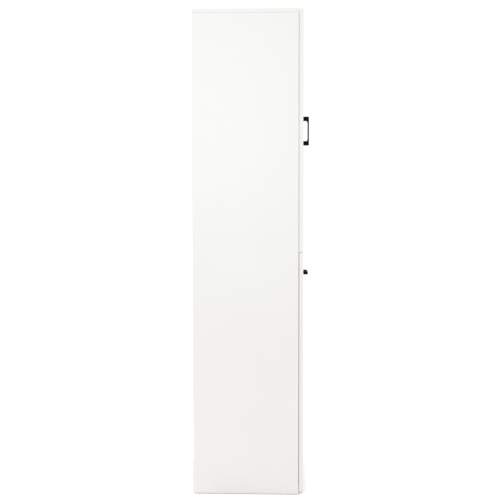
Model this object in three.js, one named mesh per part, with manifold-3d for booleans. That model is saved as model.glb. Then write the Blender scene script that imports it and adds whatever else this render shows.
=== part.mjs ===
// Tall, narrow locker cabinet of white-faced board. The upper half is closed by a side-hung door on two
// concealed cup hinges. The lower half is closed by a front that tilts out at the top, with a bin behind it.
// Millimetres. X is the width, -Y is the front, +Z is up, and the origin is the centre of the footprint.
import * as THREE from 'three';
import { mergeVertices } from 'three/addons/utils/BufferGeometryUtils.js';
import Module from 'manifold-3d';

const wasm = await Module();
wasm.setup();

// ---- Driving dimensions ----
const HEIGHT = 1900;
const WIDTH = 400;
const SIDE_DEPTH = 415;
const BOARD = 15;
const FRONT_THICKNESS = 16;
const FRONT_GAP = 2; // between the carcass's front edges and the lower front
const DOOR_GAP = 1.2; // between them and the upper door, which its hinges draw closer
const FRONT_MARGIN = 1.5; // the fronts are this much narrower than the carcass on each side
const FRONT_BOTTOM = 12; // height of the lower front's bottom edge
const SEAM = 1; // between the two fronts
const GLIDE_HEIGHT = 2;
const FIT = 0.3; // clearance left round a piece that sits in another
const OVER = 1; // how far a cutting tool runs past the face it cuts

const HANDLE_CENTRES = 96; // between the two fixing screws
const HANDLE_FOOT = 16; // length of each foot along the handle
const HANDLE_PROJECTION = 23;
const HANDLE_WIDTH = 12.5;
const HANDLE_GRIP = 5; // thickness of the bar between the feet
const HANDLE_CORNER = 2.6; // rounding of the outer corners
const HANDLE_FILLET = { along: 11, out: 5.5 }; // where the bar runs into a foot
const UPPER_HANDLE_X = -160;
const UPPER_HANDLE_Z = 1433.5;
const LOWER_HANDLE_Z = 865;

const TILT_ANGLE = THREE.MathUtils.degToRad(25); // how far the lower front tips out

// Number of flat sides on round pieces, by size
const SIDES_TINY = 12;
const SIDES_SMALL = 16;
const SIDES_MEDIUM = 20;
const SIDES_LARGE = 40;
const ARC_STEPS = 6; // flat steps in each rounded corner of a handle
const MERGE_TOLERANCE = 1e-4;

// ---- Planes that follow from them ----
const OVERALL_DEPTH = SIDE_DEPTH + FRONT_GAP + FRONT_THICKNESS + HANDLE_PROJECTION;
const REAR_Y = OVERALL_DEPTH / 2;
const CARCASS_Y = REAR_Y - SIDE_DEPTH; // front edges of the carcass
const FRONT_BACK_Y = CARCASS_Y - FRONT_GAP; // the lower front's inner face
const FRONT_FACE_Y = FRONT_BACK_Y - FRONT_THICKNESS;
const DOOR_BACK_Y = CARCASS_Y - DOOR_GAP; // the upper door's inner face
const DOOR_FACE_Y = DOOR_BACK_Y - FRONT_THICKNESS;
const INNER_X = WIDTH / 2 - BOARD;
const SIDE_TOP = HEIGHT - BOARD;
const FRONT_TOP = HEIGHT - FRONT_MARGIN;
const FRONT_HEIGHT = (FRONT_TOP - FRONT_BOTTOM - SEAM) / 2;
const LOWER_FRONT_TOP = FRONT_BOTTOM + FRONT_HEIGHT;
const UPPER_DOOR_BOTTOM = LOWER_FRONT_TOP + SEAM;
const DIVIDER_BOTTOM = LOWER_FRONT_TOP + (SEAM - BOARD) / 2;
const DIVIDER_TOP = DIVIDER_BOTTOM + BOARD;
const EDGE_X = INNER_X + BOARD / 2; // middle of a side panel's edge

const BOTTOM_PANEL_Z = 18;
const BACK_THICKNESS = 3;
const BACK_INSET = 16; // from the rear edges to the back panel's front face
const BACK_Y = REAR_Y - BACK_INSET;
const GROOVE_DEPTH = 6; // of the grooves that the back panel stands in

function finish(color, roughness, metalness = 0) {
  return new THREE.MeshStandardMaterial({ color, roughness, metalness });
}

const whiteBoard = finish(0xf1efec, 0.5);
const backBoard = finish(0xa1896f, 0.7); // brown outside, lacquered white inside
const blackMetal = finish(0x17171a, 0.45, 0.4);
const nickelSteel = finish(0xb9bcc0, 0.32, 0.9);
const whitePlastic = finish(0xe9e9e6, 0.55);
const greyPlastic = finish(0x8d8f90, 0.6);
const clearRubber = finish(0xdadcd8, 0.4);

const cabinet = new THREE.Group();

// ---- Solids and booleans ----
function solidOf(geometry) {
  const bare = geometry.clone();
  bare.deleteAttribute('normal');
  bare.deleteAttribute('uv');
  const merged = mergeVertices(bare, MERGE_TOLERANCE);
  const vertProperties = new Float32Array(merged.attributes.position.array);
  const triVerts = new Uint32Array(merged.index.array);
  return new wasm.Manifold(new wasm.Mesh({ numProp: 3, vertProperties, triVerts }));
}

function geometryOf(solid) {
  const mesh = solid.getMesh();
  const geometry = new THREE.BufferGeometry();
  geometry.setAttribute('position', new THREE.BufferAttribute(new Float32Array(mesh.vertProperties), 3));
  geometry.setIndex(new THREE.BufferAttribute(new Uint32Array(mesh.triVerts), 1));
  return geometry;
}

// A block from its lowest corner to its highest corner.
function block(low, high) {
  const geometry = new THREE.BoxGeometry(high[0] - low[0], high[1] - low[1], high[2] - low[2]);
  geometry.translate((low[0] + high[0]) / 2, (low[1] + high[1]) / 2, (low[2] + high[2]) / 2);
  return solidOf(geometry);
}

// A rod along 'x', 'y' or 'z', from the start point and of the given length in that direction.
function rod(axis, start, length, radius, sides = SIDES_SMALL) {
  const geometry = new THREE.CylinderGeometry(radius, radius, length, sides);
  geometry.translate(0, length / 2, 0);
  if (axis === 'x') geometry.rotateZ(-Math.PI / 2);
  if (axis === 'z') geometry.rotateX(Math.PI / 2);
  geometry.translate(...start);
  return solidOf(geometry);
}

// A plan outline extruded along Z, centred on the given height.
function slabZ(points, centreZ, thickness) {
  const shape = new THREE.Shape(points.map(([x, y]) => new THREE.Vector2(x, y)));
  const geometry = new THREE.ExtrudeGeometry(shape, { depth: thickness, bevelEnabled: false });
  geometry.translate(0, 0, centreZ - thickness / 2);
  return solidOf(geometry);
}

const join = (...solids) => solids.reduce((sum, solid) => sum.add(solid));
const cut = (solid, ...tools) => tools.reduce((rest, tool) => rest.subtract(tool), solid);

function place(name, solid, material, parent = cabinet) {
  const mesh = new THREE.Mesh(geometryOf(solid), material);
  mesh.name = name;
  parent.add(mesh);
  return mesh;
}

// ---- Shelf positions and the holes for their pins ----
const SHELF_LEVELS = [1262, 1574]; // undersides of the two loose shelves
const PIN_RADIUS = 2.5;
const PIN_HOLE_DEPTH = 9;
const PIN_ROW_INSET = { front: 37, rear: 47 };
const PIN_ROWS_Y = [CARCASS_Y + PIN_ROW_INSET.front, BACK_Y - PIN_ROW_INSET.rear];
const HOLE_PITCH = 32;
const HOLES_EACH_WAY = 2; // spare holes above and below each shelf
const pinHeight = (shelfZ) => shelfZ - PIN_RADIUS - FIT;

// ---- Carcass ----
const GLIDE_INSET = 24;
const GLIDES_Y = { front: CARCASS_Y + GLIDE_INSET, rear: REAR_Y - GLIDE_INSET };
const NAIL_RADIUS = 1.2;
const NAIL_LENGTH = 10;

function sidePanel(side) {
  const inner = side * INNER_X;
  const outer = (side * WIDTH) / 2;
  const low = Math.min(inner, outer);
  const high = Math.max(inner, outer);
  const panel = block([low, CARCASS_Y, GLIDE_HEIGHT], [high, REAR_Y, SIDE_TOP]);
  const grooveLow = Math.min(inner - side * OVER, inner + side * (GROOVE_DEPTH + FIT));
  const grooveHigh = Math.max(inner - side * OVER, inner + side * (GROOVE_DEPTH + FIT));
  const groove = block(
    [grooveLow, BACK_Y - FIT, GLIDE_HEIGHT - OVER],
    [grooveHigh, BACK_Y + BACK_THICKNESS + FIT, SIDE_TOP + OVER],
  );
  const holes = [];
  for (const level of SHELF_LEVELS) {
    for (let step = -HOLES_EACH_WAY; step <= HOLES_EACH_WAY; step += 1) {
      for (const rowY of PIN_ROWS_Y) {
        const startX = side > 0 ? inner - OVER : inner - PIN_HOLE_DEPTH;
        const start = [startX, rowY, pinHeight(level) + step * HOLE_PITCH];
        holes.push(rod('x', start, PIN_HOLE_DEPTH + OVER, PIN_RADIUS + FIT / 2, SIDES_TINY));
      }
    }
  }
  for (const glideY of Object.values(GLIDES_Y)) {
    const start = [side * EDGE_X, glideY, GLIDE_HEIGHT - OVER];
    holes.push(rod('z', start, NAIL_LENGTH + FIT + OVER, NAIL_RADIUS + FIT, SIDES_TINY));
  }
  return cut(panel, groove, ...holes);
}

place('side_panel_left', sidePanel(-1), whiteBoard);
place('side_panel_right', sidePanel(1), whiteBoard);

const grooveReach = INNER_X + GROOVE_DEPTH;
const topBoard = block([-WIDTH / 2, CARCASS_Y, SIDE_TOP], [WIDTH / 2, REAR_Y, HEIGHT]);
const topGroove = block(
  [-grooveReach - FIT, BACK_Y - FIT, SIDE_TOP - OVER],
  [grooveReach + FIT, BACK_Y + BACK_THICKNESS + FIT, SIDE_TOP + GROOVE_DEPTH + FIT],
);
place('top_panel', cut(topBoard, topGroove), whiteBoard);

function crossBoard(bottomZ) {
  return block([-INNER_X, CARCASS_Y, bottomZ], [INNER_X, BACK_Y - FIT, bottomZ + BOARD]);
}

place('bottom_panel', crossBoard(BOTTOM_PANEL_Z), whiteBoard);
place('divider_shelf', crossBoard(DIVIDER_BOTTOM), whiteBoard);

place('back_panel', block(
  [-grooveReach, BACK_Y, BOTTOM_PANEL_Z],
  [grooveReach, BACK_Y + BACK_THICKNESS, SIDE_TOP + GROOVE_DEPTH],
), backBoard);

const RAIL_HEIGHT = 80;
const railFrontY = BACK_Y - FIT - BOARD;
place('wall_rail', block(
  [-INNER_X, railFrontY, SIDE_TOP - RAIL_HEIGHT],
  [INNER_X, BACK_Y - FIT, SIDE_TOP],
), whiteBoard);

// An angle of sheet steel in the corner of the top and the wall rail. A screw through it and the rail holds
// the cabinet to a wall, so that it can't tip.
const ANGLE_SHEET = 2;
const ANGLE_LEG = 40;
const ANGLE_HALF_WIDTH = 20;
const ANGLE_HOLE_X = 10;
const ANGLE_HOLE_REACH = 25; // of the hole centres from the corner of the angle
const SCREW_HOLE_RADIUS = 2.6;
const ANGLE_HOLE_LENGTH = ANGLE_SHEET + 2 * OVER;
const angleUpright = block(
  [-ANGLE_HALF_WIDTH, railFrontY - ANGLE_SHEET, SIDE_TOP - ANGLE_LEG],
  [ANGLE_HALF_WIDTH, railFrontY, SIDE_TOP],
);
const angleFlat = block(
  [-ANGLE_HALF_WIDTH, railFrontY - ANGLE_LEG, SIDE_TOP - ANGLE_SHEET],
  [ANGLE_HALF_WIDTH, railFrontY, SIDE_TOP],
);
const angleHoles = [-1, 1].flatMap((side) => {
  const x = side * ANGLE_HOLE_X;
  const intoRail = [x, railFrontY - ANGLE_SHEET - OVER, SIDE_TOP - ANGLE_HOLE_REACH];
  const intoTop = [x, railFrontY - ANGLE_HOLE_REACH, SIDE_TOP - ANGLE_SHEET - OVER];
  return [
    rod('y', intoRail, ANGLE_HOLE_LENGTH, SCREW_HOLE_RADIUS),
    rod('z', intoTop, ANGLE_HOLE_LENGTH, SCREW_HOLE_RADIUS),
  ];
});
place('wall_bracket', cut(join(angleUpright, angleFlat), ...angleHoles), nickelSteel);

// ---- Loose shelves on pins ----
const SHELF_SIDE_PLAY = 1;
const SHELF_SETBACK = 24;
const PIN_STUB = 7;
const COLLAR_RADIUS = 4;
const COLLAR_THICKNESS = 1;

function shelfPin(side) {
  const start = side > 0 ? [-PIN_STUB, 0, 0] : [-PIN_HOLE_DEPTH + FIT, 0, 0];
  const stub = rod('x', start, PIN_STUB + PIN_HOLE_DEPTH - FIT, PIN_RADIUS - FIT / 2, SIDES_TINY);
  const collarStart = [side > 0 ? -COLLAR_THICKNESS : 0, 0, 0];
  const collar = rod('x', collarStart, COLLAR_THICKNESS, COLLAR_RADIUS, SIDES_TINY);
  const shelfSide = block(
    [-COLLAR_THICKNESS - OVER, -COLLAR_RADIUS - OVER, PIN_RADIUS],
    [COLLAR_THICKNESS + OVER, COLLAR_RADIUS + OVER, COLLAR_RADIUS + OVER],
  );
  return join(stub, collar).subtract(shelfSide);
}

SHELF_LEVELS.forEach((level, index) => {
  const label = index === 0 ? 'lower' : 'upper';
  place(`loose_shelf_${label}`, block(
    [-INNER_X + SHELF_SIDE_PLAY, CARCASS_Y + SHELF_SETBACK, level],
    [INNER_X - SHELF_SIDE_PLAY, BACK_Y - SHELF_SIDE_PLAY, level + BOARD],
  ), whiteBoard);
  for (const [sideName, side] of [['left', -1], ['right', 1]]) {
    PIN_ROWS_Y.forEach((rowY, row) => {
      const name = `shelf_pin_${label}_${sideName}_${row === 0 ? 'front' : 'rear'}`;
      const pin = place(name, shelfPin(side), nickelSteel);
      pin.position.set(side * INNER_X, rowY, pinHeight(level));
    });
  }
});

// ---- Nail-on glides under the side panels ----
const GLIDE_RADIUS = 7;
for (const [sideName, side] of [['left', -1], ['right', 1]]) {
  for (const [rowName, glideY] of Object.entries(GLIDES_Y)) {
    const base = rod('z', [0, 0, 0], GLIDE_HEIGHT, GLIDE_RADIUS, SIDES_MEDIUM);
    const nailLength = GLIDE_HEIGHT / 2 + NAIL_LENGTH;
    const nail = rod('z', [0, 0, GLIDE_HEIGHT / 2], nailLength, NAIL_RADIUS, SIDES_TINY);
    const glide = place(`foot_glide_${rowName}_${sideName}`, join(base, nail), greyPlastic);
    glide.position.set(side * EDGE_X, glideY, 0);
  }
}

// ---- The two fronts ----
const FRONT_HALF_WIDTH = WIDTH / 2 - FRONT_MARGIN;
const SCREW_RADIUS = 2;
const SCREW_CLEARANCE = 2.35;
const SCREW_DEPTH_IN_HANDLE = 7;
const BORE_SPARE = 1; // how much deeper the handle's bore is than its screw
const HEAD_RADIUS = 4;
const HEAD_HEIGHT = 2.2;

function frontBoard(faceY, bottomZ) {
  return block(
    [-FRONT_HALF_WIDTH, faceY, bottomZ],
    [FRONT_HALF_WIDTH, faceY + FRONT_THICKNESS, bottomZ + FRONT_HEIGHT],
  );
}

function screwHole(x, faceY, z) {
  return rod('y', [x, faceY - OVER, z], FRONT_THICKNESS + 2 * OVER, SCREW_CLEARANCE);
}

// A bow handle lying along local X with its feet on the XZ plane, standing out along -Y.
function bowHandle() {
  const half = (HANDLE_CENTRES + HANDLE_FOOT) / 2; // the feet are centred on the screws
  const inside = half - HANDLE_FOOT;
  const reach = HANDLE_PROJECTION - HANDLE_GRIP;
  const { along, out } = HANDLE_FILLET;
  const cornerOut = HANDLE_PROJECTION - HANDLE_CORNER;
  const shape = new THREE.Shape();
  shape.moveTo(-half, 0);
  shape.lineTo(-inside, 0);
  shape.lineTo(-inside, reach - out);
  shape.absellipse(-inside + along, reach - out, along, out, Math.PI, Math.PI / 2, true);
  shape.lineTo(inside - along, reach);
  shape.absellipse(inside - along, reach - out, along, out, Math.PI / 2, 0, true);
  shape.lineTo(inside, 0);
  shape.lineTo(half, 0);
  shape.lineTo(half, cornerOut);
  shape.absarc(half - HANDLE_CORNER, cornerOut, HANDLE_CORNER, 0, Math.PI / 2, false);
  shape.lineTo(-half + HANDLE_CORNER, HANDLE_PROJECTION);
  shape.absarc(-half + HANDLE_CORNER, cornerOut, HANDLE_CORNER, Math.PI / 2, Math.PI, false);
  const geometry = new THREE.ExtrudeGeometry(shape, {
    depth: HANDLE_WIDTH,
    bevelEnabled: false,
    curveSegments: ARC_STEPS,
  });
  geometry.translate(0, 0, -HANDLE_WIDTH / 2);
  geometry.rotateX(Math.PI);
  const boreDepth = SCREW_DEPTH_IN_HANDLE + BORE_SPARE;
  const bores = [-1, 1].map((end) => (
    rod('y', [(end * HANDLE_CENTRES) / 2, -boreDepth, 0], boreDepth + OVER, SCREW_CLEARANCE)
  ));
  return cut(solidOf(geometry), ...bores);
}

function handleScrew() {
  const shankLength = FRONT_THICKNESS + SCREW_DEPTH_IN_HANDLE;
  return join(
    rod('y', [0, -shankLength, 0], shankLength + HEAD_HEIGHT / 2, SCREW_RADIUS),
    rod('y', [0, 0, 0], HEAD_HEIGHT, HEAD_RADIUS),
  );
}

function placeScrew(name, x, backY, z) {
  const screw = place(name, handleScrew(), nickelSteel);
  screw.position.set(x, backY, z);
}

// ---- Concealed hinges of the upper door ----
// Each hinge is drawn in its own axes: U runs inwards from the side panel's outer face, V forwards from the
// door's inner face, and Z up. The links swing on the arm while the door swings on the links.
const HINGE_INSET = 110; // of each hinge's middle from the end of the door
const HINGE_HEIGHTS = { lower: UPPER_DOOR_BOTTOM + HINGE_INSET, upper: FRONT_TOP - HINGE_INSET };
const ARM_PIVOT = [24, -5];
const LINK_REACH = 17.3;
const LINK_REST = THREE.MathUtils.degToRad(25);
const CUP_PIVOT = [
  ARM_PIVOT[0] - LINK_REACH * Math.cos(LINK_REST),
  ARM_PIVOT[1] + LINK_REACH * Math.sin(LINK_REST),
];
const LINK_BOW = [4.7, 2.7]; // from the cup's pivot to the link's elbow
const LINK_ELBOW = [CUP_PIVOT[0] + LINK_BOW[0], CUP_PIVOT[1] + LINK_BOW[1]];
const LINK_SHEET = 2.4;
const LINK_HALF_HEIGHT = 4;
const LINK_PIN_RADIUS = 1.2;
const CUP_EYE_RADIUS = 1.9;
const ARM_EYE_RADIUS = 2.1;
const ARM_PIN_HALF = 8;
const CUP_PIN_HALF = 6.6;
const SLOT_HALF = LINK_HALF_HEIGHT + 0.5;
const CUP_CENTRE_U = 23;
const CUP_BORE_RADIUS = 17.5;
const CUP_BORE_DEPTH = 12;
const CUP_WALL = 1.2;
const FLANGE_SHEET = 1;
const FLANGE_OUTWARD = 10; // from the cup's centre towards the side panel
const FLANGE_INWARD = 12;
const FLANGE_HALF_HEIGHT = 31;
const LUG_MARGIN = 3; // metal left round the cup's pivot
const LINK_SWEEP = { front: 2, back: 3.4 }; // room for the link in front of the flange and past its pivot

function hingeCup() {
  const outer = CUP_BORE_RADIUS - FIT;
  const depth = CUP_BORE_DEPTH - FIT;
  const body = rod('y', [CUP_CENTRE_U, -FLANGE_SHEET, 0], depth + FLANGE_SHEET, outer, SIDES_LARGE);
  const flange = block(
    [CUP_CENTRE_U - FLANGE_OUTWARD, -FLANGE_SHEET, -FLANGE_HALF_HEIGHT],
    [CUP_CENTRE_U + FLANGE_INWARD, 0, FLANGE_HALF_HEIGHT],
  );
  const hollowStart = -FLANGE_SHEET - OVER;
  const hollowLength = depth - CUP_WALL - hollowStart;
  const hollow = rod('y', [CUP_CENTRE_U, hollowStart, 0], hollowLength, outer - CUP_WALL, SIDES_LARGE);
  const shell = cut(join(body, flange), hollow);
  const lugs = [-1, 1].map((end) => block(
    [CUP_CENTRE_U - CUP_BORE_RADIUS, 0, end > 0 ? SLOT_HALF : -CUP_PIN_HALF - FIT],
    [CUP_PIVOT[0] + LUG_MARGIN, CUP_PIVOT[1] + LUG_MARGIN, end > 0 ? CUP_PIN_HALF + FIT : -SLOT_HALF],
  ).intersect(body));
  const pinHalf = CUP_PIN_HALF + OVER;
  const pinHole = rod('z', [...CUP_PIVOT, -pinHalf], 2 * pinHalf, LINK_PIN_RADIUS + FIT);
  const linkSlot = block(
    [0, -LINK_SWEEP.front, -SLOT_HALF],
    [CUP_PIVOT[0] + LUG_MARGIN, CUP_PIVOT[1] + LINK_SWEEP.back, SLOT_HALF],
  );
  return cut(join(shell, ...lugs), pinHole, linkSlot);
}

function strapBetween(from, to, halfHeight) {
  const along = new THREE.Vector2(to[0] - from[0], to[1] - from[1]);
  const side = new THREE.Vector2(-along.y, along.x).setLength(LINK_SHEET / 2);
  return slabZ([
    [from[0] + side.x, from[1] + side.y],
    [from[0] - side.x, from[1] - side.y],
    [to[0] - side.x, to[1] - side.y],
    [to[0] + side.x, to[1] + side.y],
  ], 0, 2 * halfHeight);
}

function hingeLink() {
  const eye = (point, radius) => rod('z', [...point, -LINK_HALF_HEIGHT], 2 * LINK_HALF_HEIGHT, radius);
  const pin = (point, half) => rod('z', [...point, -half], 2 * half, LINK_PIN_RADIUS, SIDES_TINY);
  return join(
    strapBetween(CUP_PIVOT, LINK_ELBOW, LINK_HALF_HEIGHT),
    strapBetween(LINK_ELBOW, ARM_PIVOT, LINK_HALF_HEIGHT),
    eye(CUP_PIVOT, CUP_EYE_RADIUS),
    eye(LINK_ELBOW, LINK_SHEET / 2),
    eye(ARM_PIVOT, ARM_EYE_RADIUS),
    pin(CUP_PIVOT, CUP_PIN_HALF),
    pin(ARM_PIVOT, ARM_PIN_HALF),
  );
}

const PLATE_SHEET = 2;
const PLATE_FRONT_V = -19;
const PLATE_REAR_V = -64;
const ARM_LOW_U = BOARD + PLATE_SHEET + FIT;
const ARM_HIGH_U = 26.6;
const ARM_REAR_V = -60;
const ARM_NECK_V = -12;
const EAR_RADIUS = ARM_HIGH_U - ARM_PIVOT[0];
const ARM_HALF_HEIGHT = 8.6;
const ARM_SLOT_V = -10.5; // where the slot for the link starts
const PLATE_HALF_HEIGHT = 10;
const WING = { front: -33, rear: -49, halfHeight: 24, hole: 17 }; // the plate's two screw wings

function hingeArm() {
  const body = block([ARM_LOW_U, ARM_REAR_V, -ARM_HALF_HEIGHT], [ARM_HIGH_U, ARM_NECK_V, ARM_HALF_HEIGHT]);
  const neck = block(
    [ARM_PIVOT[0] - EAR_RADIUS, ARM_NECK_V - OVER, -ARM_HALF_HEIGHT],
    [ARM_HIGH_U, ARM_PIVOT[1], ARM_HALF_HEIGHT],
  );
  const nose = rod('z', [...ARM_PIVOT, -ARM_HALF_HEIGHT], 2 * ARM_HALF_HEIGHT, EAR_RADIUS, SIDES_MEDIUM);
  const slot = block([ARM_LOW_U - OVER, ARM_SLOT_V, -SLOT_HALF], [ARM_HIGH_U + OVER, 0, SLOT_HALF]);
  const holeHalf = ARM_HALF_HEIGHT + OVER;
  const hole = rod('z', [...ARM_PIVOT, -holeHalf], 2 * holeHalf, LINK_PIN_RADIUS + FIT);
  return cut(join(body, neck, nose), slot, hole);
}

function hingePlate() {
  const high = BOARD + PLATE_SHEET;
  const middle = block([BOARD, PLATE_REAR_V, -PLATE_HALF_HEIGHT], [high, PLATE_FRONT_V, PLATE_HALF_HEIGHT]);
  const wings = block([BOARD, WING.rear, -WING.halfHeight], [high, WING.front, WING.halfHeight]);
  const holeV = (WING.front + WING.rear) / 2;
  const screwHoles = [-1, 1].map((end) => (
    rod('x', [BOARD - OVER, holeV, end * WING.hole], PLATE_SHEET + 2 * OVER, SCREW_HOLE_RADIUS)
  ));
  return cut(join(middle, wings), ...screwHoles);
}

const cupBores = [];
for (const [label, hingeZ] of Object.entries(HINGE_HEIGHTS)) {
  const hinge = new THREE.Group();
  hinge.rotation.z = Math.PI;
  hinge.position.set(WIDTH / 2, DOOR_BACK_Y, hingeZ);
  cabinet.add(hinge);
  place(`hinge_plate_${label}`, hingePlate(), nickelSteel, hinge);
  place(`hinge_arm_${label}`, hingeArm(), nickelSteel, hinge);
  place(`hinge_link_${label}`, hingeLink(), nickelSteel, hinge);
  place(`hinge_cup_${label}`, hingeCup(), nickelSteel, hinge);
  const boreStart = [WIDTH / 2 - CUP_CENTRE_U, DOOR_BACK_Y - CUP_BORE_DEPTH, hingeZ];
  cupBores.push(rod('y', boreStart, CUP_BORE_DEPTH + OVER, CUP_BORE_RADIUS, SIDES_LARGE));
}

// ---- Upper door ----
const screwOffsets = [-HANDLE_CENTRES / 2, HANDLE_CENTRES / 2];
place('upper_door_panel', cut(
  frontBoard(DOOR_FACE_Y, UPPER_DOOR_BOTTOM),
  ...cupBores,
  ...screwOffsets.map((offset) => screwHole(UPPER_HANDLE_X, DOOR_FACE_Y, UPPER_HANDLE_Z + offset)),
), whiteBoard);

const upperHandle = place('upper_handle', bowHandle(), blackMetal);
upperHandle.rotation.y = Math.PI / 2;
upperHandle.position.set(UPPER_HANDLE_X, DOOR_FACE_Y, UPPER_HANDLE_Z);
placeScrew('upper_handle_screw_lower', UPPER_HANDLE_X, DOOR_BACK_Y, UPPER_HANDLE_Z - HANDLE_CENTRES / 2);
placeScrew('upper_handle_screw_upper', UPPER_HANDLE_X, DOOR_BACK_Y, UPPER_HANDLE_Z + HANDLE_CENTRES / 2);

// A magnetic catch on the left side panel meets a steel strike plate on the door.
const CATCH_HALF_HEIGHT = 22;
const CATCH_WIDTH = 12;
const CATCH_DEPTH = 26;
const CATCH_SETBACK = 2; // of the catch's body from the carcass's front edge
const MAGNET_INSET = 3;
const MAGNET_END_INSET = 6;
const MAGNET_SEAT = 1; // how far the magnet goes into the catch's body
const STRIKE_SHEET = 1;
const STRIKE_INSET = 1; // from the side panel's inner face
const strikeRearY = DOOR_BACK_Y + STRIKE_SHEET;
const catchFrontY = CARCASS_Y + CATCH_SETBACK;
const catchBody = block(
  [-INNER_X, catchFrontY, UPPER_HANDLE_Z - CATCH_HALF_HEIGHT],
  [-INNER_X + CATCH_WIDTH, catchFrontY + CATCH_DEPTH, UPPER_HANDLE_Z + CATCH_HALF_HEIGHT],
);
const magnetHalfHeight = CATCH_HALF_HEIGHT - MAGNET_END_INSET;
const magnet = block(
  [-INNER_X + MAGNET_INSET, strikeRearY + FIT, UPPER_HANDLE_Z - magnetHalfHeight],
  [-INNER_X + CATCH_WIDTH - MAGNET_INSET, catchFrontY + MAGNET_SEAT, UPPER_HANDLE_Z + magnetHalfHeight],
);
place('magnetic_catch', join(catchBody, magnet), whitePlastic);
place('strike_plate', block(
  [-INNER_X + STRIKE_INSET, DOOR_BACK_Y, UPPER_HANDLE_Z - CATCH_HALF_HEIGHT],
  [-INNER_X + CATCH_WIDTH, strikeRearY, UPPER_HANDLE_Z + CATCH_HALF_HEIGHT],
), nickelSteel);

// ---- Soft bumpers between the fronts and the side panels' edges ----
const BUMPER_RADIUS = 4;
const BUMPER_INSET = 40; // from the end of its front

function bumper(x, z, gap) {
  return rod('y', [x, CARCASS_Y - gap, z], gap - FIT, BUMPER_RADIUS, SIDES_MEDIUM);
}

place('upper_door_bumper_lower', bumper(-EDGE_X, UPPER_DOOR_BOTTOM + BUMPER_INSET, DOOR_GAP), clearRubber);
place('upper_door_bumper_upper', bumper(-EDGE_X, FRONT_TOP - BUMPER_INSET, DOOR_GAP), clearRubber);
place('tilt_front_bumper_left', bumper(-EDGE_X, LOWER_FRONT_TOP - BUMPER_INSET, FRONT_GAP), clearRubber);
place('tilt_front_bumper_right', bumper(EDGE_X, LOWER_FRONT_TOP - BUMPER_INSET, FRONT_GAP), clearRubber);

// ---- Tilting lower front ----
place('tilt_front_panel', cut(
  frontBoard(FRONT_FACE_Y, FRONT_BOTTOM),
  ...screwOffsets.map((offset) => screwHole(offset, FRONT_FACE_Y, LOWER_HANDLE_Z)),
), whiteBoard);
const lowerHandle = place('lower_handle', bowHandle(), blackMetal);
lowerHandle.position.set(0, FRONT_FACE_Y, LOWER_HANDLE_Z);
placeScrew('lower_handle_screw_left', -HANDLE_CENTRES / 2, FRONT_BACK_Y, LOWER_HANDLE_Z);
placeScrew('lower_handle_screw_right', HANDLE_CENTRES / 2, FRONT_BACK_Y, LOWER_HANDLE_Z);

// ---- The bin behind it: two cheeks, a bottom and a back ----
const BIN_BOARD = 12;
const BIN_SIDE_PLAY = 12; // between a cheek and its side panel
const CHEEK_OUTER_X = INNER_X - BIN_SIDE_PLAY;
const CHEEK_INNER_X = CHEEK_OUTER_X - BIN_BOARD;
const BIN_BOTTOM = 54; // above the tilting hinge leaves
const BIN_REAR_Y = 90;
const BIN_BACK_TOP = 700;
const CHEEK_TOP = 860;
const CHEEK_SLOPE_Y = -100; // where the cheek's level top turns down towards the back

function cheek(side) {
  const shape = new THREE.Shape([
    new THREE.Vector2(FRONT_BACK_Y, BIN_BOTTOM),
    new THREE.Vector2(BIN_REAR_Y, BIN_BOTTOM),
    new THREE.Vector2(BIN_REAR_Y, BIN_BACK_TOP),
    new THREE.Vector2(CHEEK_SLOPE_Y, CHEEK_TOP),
    new THREE.Vector2(FRONT_BACK_Y, CHEEK_TOP),
  ]);
  const geometry = new THREE.ExtrudeGeometry(shape, { depth: BIN_BOARD, bevelEnabled: false });
  geometry.rotateX(Math.PI / 2);
  geometry.rotateZ(Math.PI / 2);
  geometry.translate(side > 0 ? CHEEK_INNER_X : -CHEEK_OUTER_X, 0, 0);
  return solidOf(geometry);
}

place('bin_cheek_left', cheek(-1), whiteBoard);
place('bin_cheek_right', cheek(1), whiteBoard);
place('bin_bottom', block(
  [-CHEEK_INNER_X, FRONT_BACK_Y, BIN_BOTTOM],
  [CHEEK_INNER_X, BIN_REAR_Y - BIN_BOARD, BIN_BOTTOM + BIN_BOARD],
), whiteBoard);
place('bin_back', block(
  [-CHEEK_INNER_X, BIN_REAR_Y - BIN_BOARD, BIN_BOTTOM],
  [CHEEK_INNER_X, BIN_REAR_Y, BIN_BACK_TOP],
), whiteBoard);

// ---- Knuckle hinges under the bottom panel ----
const KNUCKLE_RADIUS = 2.8;
const KNUCKLE_DROP = 3; // of the hinges' axis below the bottom panel
const KNUCKLE_SETBACK = 1; // of the axis from the bottom panel's front edge
const TILT_AXIS = { y: CARCASS_Y + KNUCKLE_SETBACK, z: BOTTOM_PANEL_Z - KNUCKLE_DROP };
const KNUCKLE_PIN_INSET = 1; // of the pin's ends from the ends of the hinge
const KNUCKLE_LENGTH = 10;
const KNUCKLE_PIN_RADIUS = 1.2;
const KNUCKLE_COUNT = 5;
const LEAF_SHEET = 1.5;
const LEAF_REACH = 34;
const FLAP_HINGES_X = { left: -120, right: 120 };
const halfHinge = (KNUCKLE_LENGTH * KNUCKLE_COUNT) / 2;

// The knuckles at even places belong to the tilting leaf, the odd ones to the fixed leaf.
function knuckles(parity) {
  const rods = [];
  for (let index = parity; index < KNUCKLE_COUNT; index += 2) {
    const startX = -halfHinge + index * KNUCKLE_LENGTH + FIT / 2;
    rods.push(rod('x', [startX, 0, 0], KNUCKLE_LENGTH - FIT, KNUCKLE_RADIUS, SIDES_MEDIUM));
  }
  return rods;
}

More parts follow.
